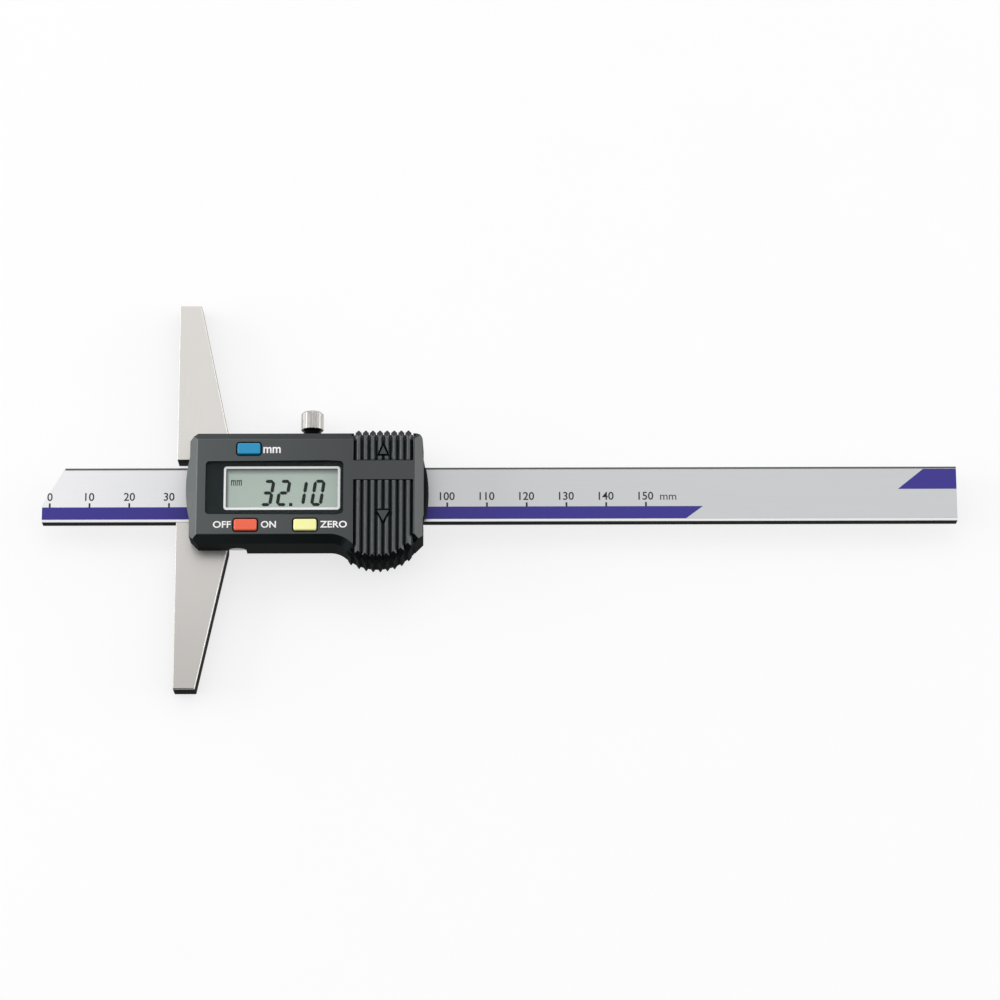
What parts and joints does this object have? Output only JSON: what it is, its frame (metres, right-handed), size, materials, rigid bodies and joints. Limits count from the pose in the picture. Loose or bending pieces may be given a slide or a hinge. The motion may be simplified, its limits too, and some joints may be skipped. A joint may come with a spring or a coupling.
{
  "type": "digital depth gauge",
  "caption": "Digital depth gauge: a flat graduated beam slides through a tapered steel base under a display housing with buttons, sliding covers and a lock screw.",
  "frame": {"origin": "under the middle of the beam's length, on the beam's centreline, in the plane the gauge lies on; the measuring face is at x = -81.3 mm", "axes": "+X along the beam away from the work, +Y to the lock screw's side, +Z to the display side"},
  "size_m": [0.2302, 0.1, 0.0155],
  "materials": {
    "beam_steel": "ground satin",
    "ground_steel": "fine ground satin",
    "frame_steel": "milled satin",
    "screw_steel": "turned",
    "dark_screw": "blackened",
    "knurled_steel": "turned and fluted",
    "cell_steel": "bright",
    "bronze": "rolled",
    "contact": "plated",
    "scale_silver": "satin silver print film",
    "circuit": "solder resist",
    "casing": "fine moulded satin",
    "potting": "dull resin",
    "switch_plastic": "moulded",
    "display": "grey-green display",
    "connector_rubber": "soft",
    "window": "clear acrylic",
    "blue_button": "satin",
    "red_button": "satin",
    "yellow_button": "satin"
  },
  "bodies": {
    "slider": {"base": "ground_steel", "base_screws": "screw_steel", "slide_frame": "frame_steel", "gib": "bronze", "gib_screws": "dark_screw", "housing": "casing", "housing_screws": "dark_screw", "circuit_board": "circuit", "board_screws": "screw_steel", "chip_cover": "potting", "tact_switches": "switch_plastic", "display_glass": "display", "display_connectors": "connector_rubber", "display_window": "window", "battery": "cell_steel", "battery_clip": "contact", "battery_spring": "contact", "port_contacts": "contact"},
    "beam": {"beam": "beam_steel", "scale_circuit": "circuit", "scale_label": "scale_silver", "stop_screw": "screw_steel"},
    "lock_screw": {"lock_screw": "knurled_steel"},
    "mode_button": {"mode_button": "blue_button"},
    "power_button": {"power_button": "red_button"},
    "zero_button": {"zero_button": "yellow_button"},
    "battery_cover": {"battery_cover": "casing"},
    "port_cover": {"port_cover": "casing"}
  },
  "joints": [
    {"name": "beam_slide", "type": "slide", "parent": "slider", "child": "beam", "axis": [-1, 0, 0], "range_m": [-0.034, 0.1162]},
    {"name": "lock_screw_turn", "type": "hinge", "parent": "slider", "child": "lock_screw", "pos_m": [-0.0474, 0.0197, 0.0041], "axis": [0, 1, 0], "range_deg": [-45, 360]},
    {"name": "mode_button_press", "type": "slide", "parent": "slider", "child": "mode_button", "axis": [0, 0, -1], "range_m": [0, 0.00035], "stiffness_N_per_m": 2000, "springref_m": -0.0005},
    {"name": "power_button_press", "type": "slide", "parent": "slider", "child": "power_button", "axis": [0, 0, -1], "range_m": [0, 0.00035], "stiffness_N_per_m": 2000, "springref_m": -0.0005},
    {"name": "zero_button_press", "type": "slide", "parent": "slider", "child": "zero_button", "axis": [0, 0, -1], "range_m": [0, 0.00035], "stiffness_N_per_m": 2000, "springref_m": -0.0005},
    {"name": "battery_cover_slide", "type": "slide", "parent": "slider", "child": "battery_cover", "axis": [0, -1, 0], "range_m": [0, 0.02]},
    {"name": "port_cover_slide", "type": "slide", "parent": "slider", "child": "port_cover", "axis": [0, 1, 0], "range_m": [0, 0.008]}
  ]
}
